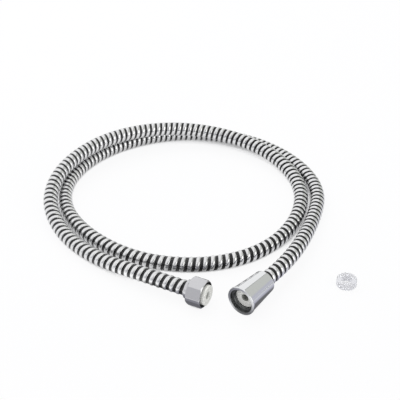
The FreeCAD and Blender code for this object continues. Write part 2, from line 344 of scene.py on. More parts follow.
@dataclass(frozen=True)
class BlackGrooveFinish:
    """Black PVC between the turns of the strip, glossy as the rest of the cover."""

    name: str
    color: Colour = (0.006, 0.006, 0.007)
    dullness: Grain = Grain(800.0, 0.14, 0.26)
    ripple: Grain = Grain(700.0)
    ripple_depth: float = 0.015 * MM

    def build(self) -> bpy.types.Material:
        """Make the material."""
        shader = Shader(self.name, self.color)
        shader.set(Specular_IOR_Level=0.4, Roughness=shader.grain(self.dullness))
        shader.bump(shader.grain(self.ripple), self.ripple_depth)
        return shader.material


@dataclass(frozen=True)
class ClearFinish:
    """Clear, slightly milky silicone."""

    name: str
    color: Colour = (0.985, 0.985, 0.99)
    dullness: Grain = Grain(300.0, 0.08, 0.14)

    def build(self) -> bpy.types.Material:
        """Make the material."""
        shader = Shader(self.name, self.color)
        shader.set(Transmission_Weight=0.7, IOR=1.42, Roughness=shader.grain(self.dullness))
        return shader.material


@dataclass(frozen=True)
class YarnFinish:
    """White polyester yarn crossing in both directions, with painted shade between the strands."""

    name: str
    color: Colour = (0.86, 0.86, 0.84)
    # between is painted shade, the darker colour in the gaps between the strands.
    between: Colour = (0.62, 0.62, 0.60)
    lay: float = 35.0
    strands: float = 220.0
    strand_height: float = 0.2 * MM

    def build(self) -> bpy.types.Material:
        """Make the material."""
        shader = Shader(self.name, self.color)
        shader.set(Sheen_Weight=0.3, Roughness=0.8)
        waves = []
        for turn in (math.radians(self.lay), math.radians(-self.lay)):
            turned = shader.node("ShaderNodeMapping", {"Vector": shader.where, "Rotation": (0.0, 0.0, turn)})
            wave = shader.node("ShaderNodeTexWave", {"Vector": turned.outputs[0], "Scale": self.strands})
            waves.append(wave.outputs["Fac"])
        crossed = shader.math("MAXIMUM", *waves)
        # Painted shade: darker between the crossing strands.
        shader.tint(crossed, self.between, self.color)
        shader.bump(crossed, self.strand_height)
        return shader.material


class Finishes:
    """All the materials of the object."""

    def __init__(self) -> None:
        """Make the materials."""
        duller = Grain(180.0, 0.14, 0.24)
        self.hex_chrome = ChromeFinish("hex_nut_chrome", (0.62, 0.62, 0.64), duller).build()
        self.cone_chrome = ChromeFinish("cone_nut_chrome").build()
        self.insert = PlasticFinish("insert_plastic", (0.94, 0.94, 0.91), (0.92, 0.92, 0.89)).build()
        # Painted shade: darker copies of the insert's plastic for the inside of its mouth and bore, lighter at
        # the tap end than at the hand shower end.
        self.tap_bore_painted_shade = PlasticFinish("tap_bore_painted_shade", (0.66, 0.67, 0.65), (0.62, 0.63, 0.61)).build()
        self.handset_bore_painted_shade = PlasticFinish("handset_bore_painted_shade", (0.42, 0.43, 0.40), (0.38, 0.39, 0.36)).build()
        self.ring = PlasticFinish("ring_plastic", (0.88, 0.88, 0.86), (0.82, 0.82, 0.80)).build()
        self.tube = PlasticFinish("tube_plastic", (0.78, 0.78, 0.72), (0.70, 0.70, 0.65)).build()
        self.steel = SteelFinish("ferrule_steel").build()
        # Painted shade: near-black steel for the threaded inside of both nuts, where shade falls.
        self.shaded_lining = SteelFinish("nut_inside_painted_shade", (0.16, 0.165, 0.165)).build()
        self.silver = SilverStripFinish("silver_strip").build()
        self.black = BlackGrooveFinish("black_groove").build()
        self.clear = ClearFinish("clear_silicone").build()
        self.yarn = YarnFinish("braid_yarn").build()


# Objects and meshes


def new_object(name: str, data: bpy.types.ID) -> bpy.types.Object:
    """Put an object that shows some data into the scene."""
    made = bpy.data.objects.new(name, data)
    bpy.context.scene.collection.objects.link(made)
    return made


def evaluated_mesh(source: bpy.types.Object) -> bpy.types.Mesh:
    """The mesh that an object's curve or modifiers come to."""
    graph = bpy.context.evaluated_depsgraph_get()
    return bpy.data.meshes.new_from_object(source.evaluated_get(graph))


def close_and_orient(mesh: bpy.types.Mesh) -> None:
    """Fill what is open in a mesh and turn its faces outwards."""
    work = bmesh.new()
    work.from_mesh(mesh)
    open_edges = [edge for edge in work.edges if edge.is_boundary]
    if open_edges:
        bmesh.ops.holes_fill(work, edges=open_edges, sides=0)
    bmesh.ops.recalc_face_normals(work, faces=work.faces)
    work.to_mesh(mesh)
    work.free()


def add_piece(name: str, mesh: bpy.types.Mesh, finishes: Sequence[bpy.types.Material], body: Body,
              node: str) -> bpy.types.Object:
    """Put a finished mesh into the scene.

    Args:
        name: Name of the piece.
        mesh: Its mesh, in the frame.
        finishes: Its materials; an empty list keeps those of the mesh.
        body: The body it rides on.
        node: The node that it stands for.

    Returns:
        The piece.
    """
    piece = new_object(name, mesh)
    for finish in finishes:
        mesh.materials.append(finish)
    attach(piece, body.value)
    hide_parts(node)
    LOG.info("%s: %d faces, on %s", name, len(mesh.polygons), body.value)
    return piece


# Turned pieces

ARC_STEPS = 4
LONGEST_SETBACK = 0.45
SHARP_ANGLE = math.radians(40)
Shape = Callable[[float, float, float], float]


@dataclass(frozen=True)
class Corner:
    """One corner of a turned piece's outline: its radius and height, in metres.

    rounding is the radius of the corner's edge, and rings the steps of the line that follows it.
    """

    radius: float
    height: float
    rounding: float = 0.0
    rings: int = 1

    def point(self) -> Vector:
        """The corner as a point of the outline's plane."""
        return Vector((self.radius, self.height))


def outline_points(corners: Sequence[Corner]) -> list[tuple[float, float]]:
    """Round the corners of a closed outline and divide its lines.

    Args:
        corners: The outline, in order.

    Returns:
        Radius and height of each point.
    """
    legs: list[list[Vector]] = []
    for k, corner in enumerate(corners):
        here = corner.point()
        if corner.rounding <= 0.0:
            legs.append([here])
            continue
        back = corners[k - 1].point() - here
        ahead = corners[(k + 1) % len(corners)].point() - here
        room = LONGEST_SETBACK * min(back.length, ahead.length)
        setback = min(corner.rounding / math.tan(back.angle(ahead) / 2), room)
        start = here + back.normalized() * setback
        end = here + ahead.normalized() * setback
        arc = []
        for step in range(ARC_STEPS + 1):
            share = step / ARC_STEPS
            arc.append(start * (1 - share) ** 2 + here * 2 * share * (1 - share) + end * share ** 2)
        legs.append(arc)
    points: list[Vector] = []
    for k, leg in enumerate(legs):
        target = legs[(k + 1) % len(legs)][0]
        rings = corners[k].rings
        points += leg + [leg[-1].lerp(target, step / rings) for step in range(1, rings)]
    return [(point.x, point.y) for point in points]


def turned_mesh(name: str, corners: Sequence[Corner], place: Matrix, segments: int = 96,
                shape: Shape | None = None, shaded_lining: float = 0.0) -> bpy.types.Mesh:
    """Turn a closed outline about local Z.

    Args:
        name: Name of the mesh.
        corners: The outline.
        place: Where the piece stands in the frame.
        segments: Steps round the axis.
        shape: Radius in place of an outline's radius, from radius, height and angle.
        shaded_lining: Radius within which the faces of the inside, where the outline comes down, take
        the second material, a painted shade.

    Returns:
        A closed mesh with the turned UV map: turns round the axis, and metres along the outline.
    """
    points = outline_points(corners)
    lengths = [0.0]
    for (r0, h0), (r1, h1) in zip(points, points[1:] + points[:1]):
        lengths.append(lengths[-1] + math.hypot(r1 - r0, h1 - h0))
    count = len(points)
    verts = []
    for step in range(segments):
        angle = 2 * math.pi * step / segments
        for radius, height in points:
            reach = shape(radius, height, angle) if shape else radius
            verts.append(place @ Vector((reach * math.cos(angle), reach * math.sin(angle), height)))
    faces = []
    coords = []
    kinds = []
    for step in range(segments):
        ahead = (step + 1) % segments
        for k in range(count):
            up = (k + 1) % count
            faces.append((step * count + k, ahead * count + k, ahead * count + up, step * count + up))
            fall = points[k][1] - points[up][1]
            inside = fall > TINY or (fall > -TINY and up > 0)
            kinds.append(int(inside and max(points[k][0], points[up][0]) < shaded_lining))
            for turn, length in ((step, k), (step + 1, k), (step + 1, k + 1), (step, k + 1)):
                coords.append((turn / segments, lengths[length]))
    mesh = bpy.data.meshes.new(name)
    mesh.from_pydata(verts, [], faces)
    layer = mesh.uv_layers.new(name=TURNED_UV)
    for loop, coord in zip(layer.data, coords):
        loop.uv = coord
    mesh.polygons.foreach_set("material_index", kinds)
    close_and_orient(mesh)
    mesh.shade_smooth()
    mesh.set_sharp_from_angle(angle=SHARP_ANGLE)
    return mesh


# The hose's ends and their nuts

PASSAGE = 7.75 * MM
RELIEF = 9.65 * MM
MOUTH_BORE = 11.3 * MM
MOUTH_BORE_DEPTH = 2.4 * MM
# Radius within which the nuts' inside takes the painted shade of the dark steel.
SHADED_LINING_RADIUS = MOUTH_BORE + 0.35 * MM
FLANGE = 3.5 * MM


@dataclass
class HoseEnd:
    """One end of the hose: where it is, and the insert, ferrule and slip ring on it.

    Distances along its axis count out of the hose's end face; shoulder is where the slip ring's rear
    face lies.
    """

    label: str
    tip: Vector
    inner: Vector
    ring_body: Body
    shoulder: float
    flange_radius: float = 9.2 * MM
    bore: float = 3.0 * MM
    mouth: float = 3.5 * MM
    tail_length: float = 18.0 * MM
    tail_radius: float = 3.6 * MM
    barbs: int = 3
    barb_radius: float = 3.95 * MM
    barb_pitch: float = 4.5 * MM
    ferrule_length: float = 16.0 * MM
    ferrule_bore: float = 6.55 * MM
    ferrule_radius: float = 7.15 * MM
    crimps: tuple[float, ...] = (0.25, 0.5, 0.75)
    crimp_depth: float = 0.2 * MM
    ring_thickness: float = 2.0 * MM
    ring_play: float = 0.06 * MM

    def matrix(self, distance: float) -> Matrix:
        """A frame on the end's axis with local Z out of the hose and local Y up.

        Args:
            distance: Where its origin lies on the axis.

        Returns:
            The frame's matrix.
        """
        outwards = (self.tip - self.inner).normalized()
        up = Vector(UPWARDS)
        turn = Matrix((up.cross(outwards), up, outwards)).transposed().to_4x4()
        return Matrix.Translation(self.tip + outwards * distance) @ turn

    def insert_corners(self) -> list[Corner]:
        """Outline of the flanged insert, from the inner end of its tail."""
        top = self.tail_length + FLANGE
        corners = [Corner(self.bore, 0.0), Corner(self.tail_radius, 0.0, 0.1 * MM)]
        for barb in range(1, self.barbs + 1):
            crest = barb * self.barb_pitch
            corners.append(Corner(self.barb_radius, crest, 0.05 * MM))
            corners.append(Corner(self.tail_radius, crest + 0.1 * MM))
        corners += [
            Corner(self.tail_radius, self.tail_length, 0.1 * MM),
            Corner(self.flange_radius, self.tail_length, 0.25 * MM),
            Corner(self.flange_radius, top, 0.35 * MM),
            Corner(self.flange_radius - 1.5 * MM, top, 0.1 * MM),
            Corner(self.flange_radius - 1.7 * MM, top - 0.12 * MM, 0.1 * MM),
            Corner(self.mouth + 0.5 * MM, top - 0.12 * MM, 0.3 * MM),
            Corner(self.mouth, top - 0.5 * MM, 0.2 * MM),
            Corner(self.bore, top - 1.4 * MM, 0.2 * MM),
        ]
        return corners

    def ferrule_corners(self) -> list[Corner]:
        """Outline of the crimped ferrule, from its front end down the bore and up its outside."""
        pressed = self.ferrule_radius - self.crimp_depth
        corners = [
            Corner(self.ferrule_bore, self.ferrule_length),
            Corner(self.ferrule_bore, 0.0, 0.1 * MM),
            Corner(self.ferrule_radius, 0.0, 0.2 * MM),
        ]
        for share in self.crimps:
            middle = share * self.ferrule_length
            corners += [
                Corner(self.ferrule_radius, middle - 1.0 * MM, 0.4 * MM),
                Corner(pressed, middle - 0.4 * MM, 0.4 * MM),
                Corner(pressed, middle + 0.4 * MM, 0.4 * MM),
                Corner(self.ferrule_radius, middle + 1.0 * MM, 0.4 * MM),
            ]
        corners.append(Corner(self.ferrule_radius, self.ferrule_length, 0.1 * MM))
        return corners

    def ring_corners(self) -> list[Corner]:
        """Outline of the slip ring, from its rear face."""
        outer = RELIEF - self.ring_play
        return [
            Corner(PASSAGE, 0.0, 0.15 * MM),
            Corner(outer, 0.0, 0.2 * MM),
            Corner(outer, self.ring_thickness, 0.2 * MM),
            Corner(PASSAGE, self.ring_thickness, 0.15 * MM),
        ]

    def build(self, finishes: Finishes, bore: bpy.types.Material) -> None:
        """Make the insert, the ferrule and the slip ring.

        Args:
            finishes: The materials.
            bore: The painted shade for the inside of the insert's mouth and bore, a darker copy of its
                plastic.
        """
        insert = f"{self.label}_insert"
        # The faces inside the insert's mouth and bore take the bore's painted shade.
        mesh = turned_mesh(insert, self.insert_corners(), self.matrix(-self.tail_length),
                           shaded_lining=self.mouth + 0.05 * MM)
        add_piece(f"{insert}_moulded", mesh, [finishes.insert, bore], Body.HOSE, insert)
        ferrule = f"{self.label}_ferrule"
        mesh = turned_mesh(ferrule, self.ferrule_corners(), self.matrix(-self.ferrule_length))
        add_piece(f"{ferrule}_crimped", mesh, [finishes.steel], Body.HOSE, ferrule)
        ring = f"{self.label}_slip_ring"
        mesh = turned_mesh(ring, self.ring_corners(), self.matrix(self.shoulder))
        add_piece(f"{ring}_turned", mesh, [finishes.ring], self.ring_body, ring)


@dataclass(frozen=True)
class Thread:
    """An internal pipe thread of triangular form; run_out is the share of a pitch that its ends fade over."""

    minor: float = 9.315 * MM
    depth: float = 0.55 * MM
    pitch: float = 1.814 * MM
    run_out: float = 0.4

    def radius(self, radius: float, height: float, angle: float, low: float, high: float) -> float:
        """Radius of the thread's surface where the outline runs at its minor radius.

        Args:
            radius: Radius of the outline.
            height: Height of the point.
            angle: Angle of the point.
            low: Height where the thread starts.
            high: Height where it ends.

        Returns:
            The radius with the thread cut in.
        """
        if abs(radius - self.minor) > TINY or not low < height < high:
            return radius
        phase = (height / self.pitch - angle / (2 * math.pi)) % 1.0
        fade = min(1.0, min(height - low, high - height) / (self.run_out * self.pitch))
        return radius + self.depth * (1 - abs(2 * phase - 1)) * fade


@dataclass
class Nut:
    """A nut with a threaded bore, whose outside each kind gives.

    Heights run from its rear end to its mouth. mouth_place is where the mouth lies at rest, out of the
    hose's end face; mouth_depth and thread_length count back from the mouth, to the shoulder and to the
    thread's inner end.
    """

    name: str
    body: Body
    segments: int
    mouth_place: float
    length: float
    mouth_depth: float
    thread_length: float
    thread: Thread = Thread()
    thread_rings: int = 48

    def outside(self) -> list[Corner]:
        """Outline of the outside, from the rear end to the mouth."""
        raise NotImplementedError

    def inside(self) -> list[Corner]:
        """Outline of the inside, from the mouth to the rear end."""
        mouth, minor = self.length, self.thread.minor
        start = mouth - MOUTH_BORE_DEPTH
        thread_end = mouth - self.thread_length
        shoulder = mouth - self.mouth_depth
        return [
            Corner(MOUTH_BORE + 0.3 * MM, mouth, 0.1 * MM),
            Corner(MOUTH_BORE, mouth - 0.3 * MM, 0.1 * MM),
            Corner(MOUTH_BORE, start, 0.15 * MM),
            Corner(minor + 0.3 * MM, start, 0.05 * MM),
            Corner(minor, start - 0.3 * MM, rings=self.thread_rings),
            Corner(minor, thread_end, 0.05 * MM),
            Corner(RELIEF, thread_end, 0.05 * MM),
            Corner(RELIEF, shoulder, 0.2 * MM),
            Corner(PASSAGE, shoulder, 0.1 * MM),
            Corner(PASSAGE, 0.0, 0.3 * MM),
        ]

    def shape(self, radius: float, height: float, angle: float) -> float:
        """Radius of the nut's surface, with the thread cut in."""
        low = self.length - self.thread_length
        return self.thread.radius(radius, height, angle, low, self.length - MOUTH_BORE_DEPTH)

    def build(self, end: HoseEnd, plating: bpy.types.Material, shaded_lining: bpy.types.Material) -> None:
        """Make the nut.

        Args:
            end: The hose's end that it turns on.
            plating: The finish of its outside.
            shaded_lining: Near-black steel for its inside, a painted shade.
        """
        place = end.matrix(self.mouth_place - self.length)
        corners = self.outside() + self.inside()
        mesh = turned_mesh(self.name, corners, place, self.segments, self.shape, SHADED_LINING_RADIUS)
        add_piece(f"{self.name}_plated", mesh, [plating, shaded_lining], self.body, self.name)


@dataclass
class HexNut(Nut):
    """The hexagon nut of the tap end."""

    name: str = "hex_nut"
    body: Body = Body.TAP_NUT
    segments: int = 240
    mouth_place: float = 1.0 * MM
    length: float = 18.2 * MM
    mouth_depth: float = 13.6 * MM
    thread_length: float = 9.0 * MM
    half_flats: float = 12.0 * MM
    half_corners: float = 13.1 * MM
    collar_length: float = 3.8 * MM
    collar_rear: float = 8.5 * MM
    collar_radius: float = 9.5 * MM
    chamfer: float = 1.1 * MM
    edge_sharpness: float = 110.0
    soft_edge: float = 0.2 * MM

    def outside(self) -> list[Corner]:
        """Outline of the outside: a tapered collar, then the hexagon between its two chamfers."""
        return [
            Corner(self.collar_rear, 0.0, 0.2 * MM),
            Corner(self.collar_radius, self.collar_length, 0.2 * MM),
            Corner(self.half_flats, self.collar_length, 0.05 * MM, 8),
            Corner(self.half_corners, self.collar_length + self.chamfer, 0.1 * MM, 10),
            Corner(self.half_corners, self.length - self.chamfer, 0.1 * MM, 8),
            Corner(self.half_flats, self.length, 0.05 * MM),
        ]

    def hexagon(self, angle: float) -> float:
        """Radius of the hexagon, with slightly rounded edges, at an angle."""
        total = 0.0
        for k in range(6):
            share = math.cos(angle - math.radians(30 + 60 * k))
            if share > 0:
                total += share ** self.edge_sharpness
        return self.half_flats / total ** (1 / self.edge_sharpness)

    def shape(self, radius: float, height: float, angle: float) -> float:
        """Radius of the nut's surface: the thread inside, the hexagon outside."""
        if radius < self.half_flats - 0.05 * MM:
            return super().shape(radius, height, angle)
        flat = min(self.hexagon(angle), self.half_corners)
        near = max(self.soft_edge - abs(radius - flat), 0.0) / self.soft_edge
        return min(radius, flat) - near * near * self.soft_edge / 4


@dataclass
class ConeNut(Nut):
    """The long cone nut of the hand shower end."""

    name: str = "cone_nut"
    body: Body = Body.HANDSET_NUT
    segments: int = 144
    mouth_place: float = 9.3 * MM
    length: float = 35.7 * MM
    mouth_depth: float = 14.0 * MM
    thread_length: float = 5.6 * MM
    mouth_radius: float = 13.9 * MM
    rim_length: float = 1.6 * MM
    rim_step: float = 0.5 * MM
    rear_radius: float = 10.6 * MM

    def outside(self) -> list[Corner]:
        """Outline of the outside: the cone, then the rim that stands out round the mouth."""
        rim = self.length - self.rim_length
        return [
            Corner(self.rear_radius, 0.0, 1.6 * MM),
            Corner(self.mouth_radius - self.rim_step, rim, 0.2 * MM),
            Corner(self.mouth_radius, rim, 0.3 * MM),
            Corner(self.mouth_radius, self.length, 0.5 * MM),
        ]


@dataclass
class Washer:
    """The loose sealing washer."""

    place: Vector = field(default_factory=lambda: Vector((0.1383, -0.1035, 0.0)))
    radius: float = 9.2 * MM
    hole: float = 4.7 * MM
    thickness: float = 6.5 * MM

    def build(self, finish: bpy.types.Material) -> None:
        """Make the washer."""
        corners = [
            Corner(self.hole, 0.0, 0.3 * MM),
            Corner(self.radius, 0.0, 0.5 * MM),
            Corner(self.radius, self.thickness, 0.6 * MM),
            Corner(self.hole, self.thickness, 0.4 * MM),
        ]
        mesh = turned_mesh("sealing_washer", corners, Matrix.Translation(self.place))
        add_piece("sealing_washer_moulded", mesh, [finish], Body.HOSE, "sealing_washer")


# The hose

FLOOR_LIMIT = (-10.0, -10.0, 0.0)
SECTION_ROW = "section_row"
WINDING_INPUTS = {
    "NodeSocketObject": ("Route", "Section"),
    "NodeSocketFloat": ("Pitch", "Pitch Change", "Turns", "Groove Radius", "Plain End", "Rise Length"),
    "NodeSocketInt": ("Steps", "Section Points"),
    "NodeSocketMaterial": ("Band Finish", "Groove Finish"),
}


@dataclass
class Hose:
    """The hose itself: a strip wound into a cover, over yarn and an inner tube.

    The cover's band bulges by swelling over half the diameter. It is left out over plain_end at each tip,
    and rises over the next rise_length.
    """

    length: float = 1.51
    diameter: float = 14.0 * MM
    swelling: float = 0.2 * MM
    pitch: float = 6.23 * MM
    pitch_change: float = 0.46 * MM
    band_share: float = 0.57
    band_steps: int = 7
    band_fullness: float = 0.6
    seam: float = 0.02 * MM
    groove_radius: float = 6.6 * MM
    cover_bore: float = 5.7 * MM
    braid_radius: float = 5.65 * MM
    braid_bore: float = 5.25 * MM
    tube_radius: float = 5.2 * MM
    tube_bore: float = 4.0 * MM
    plain_end: float = 15.0 * MM
    rise_length: float = 2.0 * MM
    weld: float = 0.001 * MM
    steps_per_turn: int = 28
    tube_steps: int = 20
    route_resolution: int = 24

    def route(self) -> bpy.types.Object:
        """The hose's middle line: a smooth curve that follows the route's points."""
        curve = bpy.data.curves.new("route", "CURVE")
        curve.dimensions = "3D"
        curve.resolution_u = self.route_resolution
        spline = curve.splines.new("NURBS")
        spline.points.add(len(ROUTE) - 1)
        for point, place in zip(spline.points, ROUTE):
            point.co = (*place, 1.0)
        spline.order_u = 3
        spline.use_endpoint_u = True
        return new_object("route", curve)

    def profile(self) -> bpy.types.Object:
        """The wound strip's section: X runs along the hose and Y is the radius, as a loop of points."""
        width = self.pitch - self.seam
        band = self.band_share * self.pitch
        crest = self.diameter / 2 + self.swelling
        points = [Vector((0.0, self.cover_bore, 0.0))]
        for step in range(self.band_steps + 1):
            share = step / self.band_steps
            rise = math.sin(math.pi * share) ** self.band_fullness
            radius = self.groove_radius + (crest - self.groove_radius) * rise
            points.append(Vector((band * share, radius, 0.0)))
        points.append(Vector((width, self.groove_radius, 0.0)))
        points.append(Vector((width, self.cover_bore, 0.0)))
        mesh = bpy.data.meshes.new("strip_section")
        mesh.from_pydata(points, [], [])
        return new_object("strip_section", mesh)

    def winding_tree(self) -> bpy.types.NodeTree:
        """Geometry nodes that wind a strip of any section round a route.

        Returns:
            The node tree; the strip turns left-handed, and nothing reaches below the floor.
        """
        tree = bpy.data.node_groups.new("wound_strip", "GeometryNodeTree")
        for kind, labels in WINDING_INPUTS.items():
            for label in labels:
                tree.interface.new_socket(label, in_out="INPUT", socket_type=kind)
        tree.interface.new_socket("Geometry", in_out="OUTPUT", socket_type="NodeSocketGeometry")
        wiring = Wiring(tree)
        math_node = wiring.math
        vector_node = wiring.vector
        source = wiring.node("NodeGroupInput").outputs

        # A grid with a row for each step of the winding and a column for each point of the section
        columns = math_node("ADD", source["Section Points"], 1.0)
        grid = wiring.node("GeometryNodeMeshGrid", {
            "Size X": 1.0, "Size Y": 1.0,
            "Vertices X": math_node("ADD", source["Steps"], 1.0), "Vertices Y": columns})
        index = wiring.node("GeometryNodeInputIndex").outputs[0]
        step = math_node("FLOOR", math_node("DIVIDE", math_node("ADD", index, 0.5), columns))
        row = math_node("SUBTRACT", index, math_node("MULTIPLY", step, columns))
        point_index = math_node("FLOORED_MODULO", math_node("ROUND", row), source["Section Points"])
        full_turns = math_node("DIVIDE", step, source["Steps"])
        turn = math_node("MULTIPLY", full_turns, source["Turns"])

        # The section's point: how far along the hose, and how far from its middle line
        section = wiring.node("GeometryNodeObjectInfo", {"Object": source["Section"]})
        sample = wiring.node("GeometryNodeSampleIndex", {
            "Geometry": section.outputs["Geometry"], "Index": point_index,
            "Value": wiring.node("GeometryNodeInputPosition").outputs[0]}, data_type="FLOAT_VECTOR")
        point = wiring.node("ShaderNodeSeparateXYZ", {"Vector": sample.outputs["Value"]})
        full_radius = point.outputs["Y"]

        # The distance along the route, in turns that are widest at the hose's tips and its middle
        wave = math_node("SINE", math_node("MULTIPLY", full_turns, 4 * math.pi))
        swell = math_node("MULTIPLY", math_node("MULTIPLY", source["Pitch Change"], source["Turns"]), wave)
        even = math_node("ADD", point.outputs["X"], math_node("MULTIPLY", turn, source["Pitch"]))
        distance = math_node("ADD", even, math_node("DIVIDE", swell, 4 * math.pi))

        # The radius: the band is pressed down to the groove at the hose's plain ends
        route = wiring.node("GeometryNodeObjectInfo", {"Object": source["Route"]}).outputs["Geometry"]
        total = wiring.node("GeometryNodeCurveLength", {"Curve": route}).outputs["Length"]
        from_end = math_node("MINIMUM", distance, math_node("SUBTRACT", total, distance))
        past_end = math_node("SUBTRACT", from_end, source["Plain End"])
        ramp = math_node("DIVIDE", past_end, source["Rise Length"], clamp=True)
        over = math_node("MAXIMUM", math_node("SUBTRACT", full_radius, source["Groove Radius"]), 0.0)
        plain = math_node("MINIMUM", full_radius, source["Groove Radius"])
        radius = math_node("ADD", plain, math_node("MULTIPLY", over, ramp))

        # The place round the route, kept above the floor
        on_route = wiring.node("GeometryNodeSampleCurve", {"Curves": route, "Length": distance},
                               mode="LENGTH", use_all_curves=True)
        tangent = on_route.outputs["Tangent"]
        side = vector_node("NORMALIZE", vector_node("CROSS_PRODUCT", tangent, UPWARDS))
        up = vector_node("CROSS_PRODUCT", side, tangent)
        angle = math_node("MULTIPLY", turn, -2 * math.pi)
        reach_up = wiring.scaled(up, math_node("MULTIPLY", math_node("COSINE", angle), radius))
        reach_side = wiring.scaled(side, math_node("MULTIPLY", math_node("SINE", angle), radius))
        reach = vector_node("ADD", reach_up, reach_side)
        place = vector_node("MAXIMUM", vector_node("ADD", on_route.outputs["Position"], reach), FLOOR_LIMIT)

        # The row of the section that each face belongs to, kept while the turns are joined
        face_row = math_node("FLOORED_MODULO", math_node("ADD", index, 0.5), source["Section Points"])
        kept = wiring.node("GeometryNodeStoreNamedAttribute", {
            "Geometry": grid.outputs["Mesh"], "Name": SECTION_ROW, "Value": face_row},
            data_type="FLOAT", domain="FACE")
        moved = wiring.node("GeometryNodeSetPosition", {
            "Geometry": kept.outputs["Geometry"], "Position": place})
        merged = wiring.node("GeometryNodeMergeByDistance", {
            "Geometry": moved.outputs["Geometry"], "Distance": self.weld})
        smooth = wiring.node("GeometryNodeSetShadeSmooth", {"Geometry": merged.outputs["Geometry"]})
        real = wiring.node("GeometryNodeRealizeInstances", {"Geometry": smooth.outputs["Geometry"]})

        # The finishes: black all over, and silver on the rows of the band
        named = wiring.node("GeometryNodeInputNamedAttribute", {"Name": SECTION_ROW}, data_type="FLOAT")
        row_of_face = named.outputs["Attribute"]
        on_band = math_node("MULTIPLY", math_node("GREATER_THAN", row_of_face, 1.0),
                            math_node("LESS_THAN", row_of_face, self.band_steps + 1.0))
        base = wiring.node("GeometryNodeSetMaterial", {
            "Geometry": real.outputs["Geometry"], "Material": source["Groove Finish"]})
        band = wiring.node("GeometryNodeSetMaterial", {
            "Geometry": base.outputs["Geometry"], "Selection": on_band, "Material": source["Band Finish"]})
        wiring.node("NodeGroupOutput", {"Geometry": band.outputs["Geometry"]})
        return tree

    def wound_cover(self, route: bpy.types.Object, total: float, finishes: Finishes) -> bpy.types.Mesh:
        """Wind the cover's strip along the route.

        Args:
            route: The middle line.
            total: Its length.
            finishes: The materials.

        Returns:
            A closed mesh.
        """
        section = self.profile()
        turns = (total - self.pitch) / self.pitch
        host = new_object("winding", bpy.data.meshes.new("winding"))
        modifier = host.modifiers.new("winding", "NODES")
        tree = self.winding_tree()
        modifier.node_group = tree
        values = {
            "Route": route,
            "Section": section,
            "Pitch": self.pitch,
            "Pitch Change": self.pitch_change,
            "Turns": turns,
            "Groove Radius": self.groove_radius,
            "Plain End": self.plain_end,
            "Rise Length": self.rise_length,
            "Steps": round(turns * self.steps_per_turn),
            "Section Points": len(section.data.vertices),
            "Band Finish": finishes.silver,
            "Groove Finish": finishes.black,
        }
        for socket in tree.interface.items_tree:
            if socket.name in values:
                modifier[socket.identifier] = values[socket.name]
        mesh = evaluated_mesh(host)
        host.modifiers.remove(modifier)
        bpy.data.objects.remove(host)
        bpy.data.objects.remove(section)
        mesh.materials.pop(index=0)
        close_and_orient(mesh)
        return mesh

    def plain_tube(self, name: str, line: Sequence[Vector], outer: float, inner: float) -> bpy.types.Mesh:
        """A plain tube along the middle line.

        Args:
            name: Name of the mesh.
            line: Points of the middle line.
            outer: Outer radius.
            inner: Radius of the bore.

        Returns:
            A closed mesh.
        """
        count = self.tube_steps
        last = len(line) - 1
        verts = []
        for k, point in enumerate(line):
            tangent = (line[min(k + 1, last)] - line[max(k - 1, 0)]).normalized()
            side = tangent.cross(Vector(UPWARDS)).normalized()
            above = side.cross(tangent)
            for radius in (outer, inner):
                for step in range(count):
                    angle = 2 * math.pi * step / count
                    verts.append(point + (above * math.cos(angle) + side * math.sin(angle)) * radius)
        ring = 2 * count
        faces = []
        for k in range(last):
            for wall in (0, count):
                for step in range(count):
                    here = k * ring + wall + step
                    beside = k * ring + wall + (step + 1) % count
                    faces.append((here, beside, beside + ring, here + ring))
        for k in (0, last):
            for step in range(count):
                here = k * ring + step
                beside = k * ring + (step + 1) % count
                faces.append((here, beside, beside + count, here + count))
        mesh = bpy.data.meshes.new(name)
        mesh.from_pydata(verts, [], faces)
        close_and_orient(mesh)
        mesh.shade_smooth()
        return mesh

    def build(self, finishes: Finishes) -> None:
        route = self.route()
        bpy.context.view_layer.update()
        line = [vertex.co.copy() for vertex in evaluated_mesh(route).vertices]
        total = sum((b - a).length for a, b in zip(line, line[1:]))
        LOG.info("middle line: %.4f m", total)
        wound = self.wound_cover(route, total, finishes)
        cover = add_piece("wound_cover", wound, [], Body.HOSE, "ribbed_cover")
        braid = self.plain_tube("yarn_layer", line, self.braid_radius, self.braid_bore)
        add_piece("yarn_layer", braid, [finishes.yarn], Body.HOSE, "reinforcement_braid")
        tube = self.plain_tube("water_tube", line, self.tube_radius, self.tube_bore)
        add_piece("water_tube", tube, [finishes.tube], Body.HOSE, "inner_tube")
        bpy.data.objects.remove(route)


# The studio


@dataclass(frozen=True)
class Patch:
    """A round patch of the room: where it is seen from the object, how wide, and its colour.

    half_angle and soft, the half width of its faded edge, are in degrees.
    """

    towards: tuple[float, float, float]
    half_angle: float
    color: Colour
    soft: float = 3.0


ROOM = (
    Patch((-0.35, 0.45, 0.82), 66.0, (1.0, 1.0, 1.0), 5.0),
    Patch((1.0, 0.0, 0.0), 70.5, (0.16, 0.16, 0.16), 0.8),
    Patch((1.0, 0.0, 0.0), 69.0, (0.63, 0.64, 0.61), 0.8),
    Patch((0.96, 0.0, -0.28), 34.0, (0.56, 0.56, 0.64), 8.0),
    Patch((0.75, -0.6, 0.25), 33.0, (1.6, 1.6, 1.56), 8.0),
    Patch((0.0, -0.98, -0.2), 34.0, (0.22, 0.22, 0.24), 6.0),
    Patch((0.0, -0.77, 0.64), 26.0, (0.50, 0.50, 0.50), 6.0),
    Patch((0.0, -0.83, 0.55), 17.0, (1.0, 1.0, 1.0), 3.0),
    Patch((0.0, -0.83, 0.55), 10.0, (0.02, 0.02, 0.02), 2.5),
)


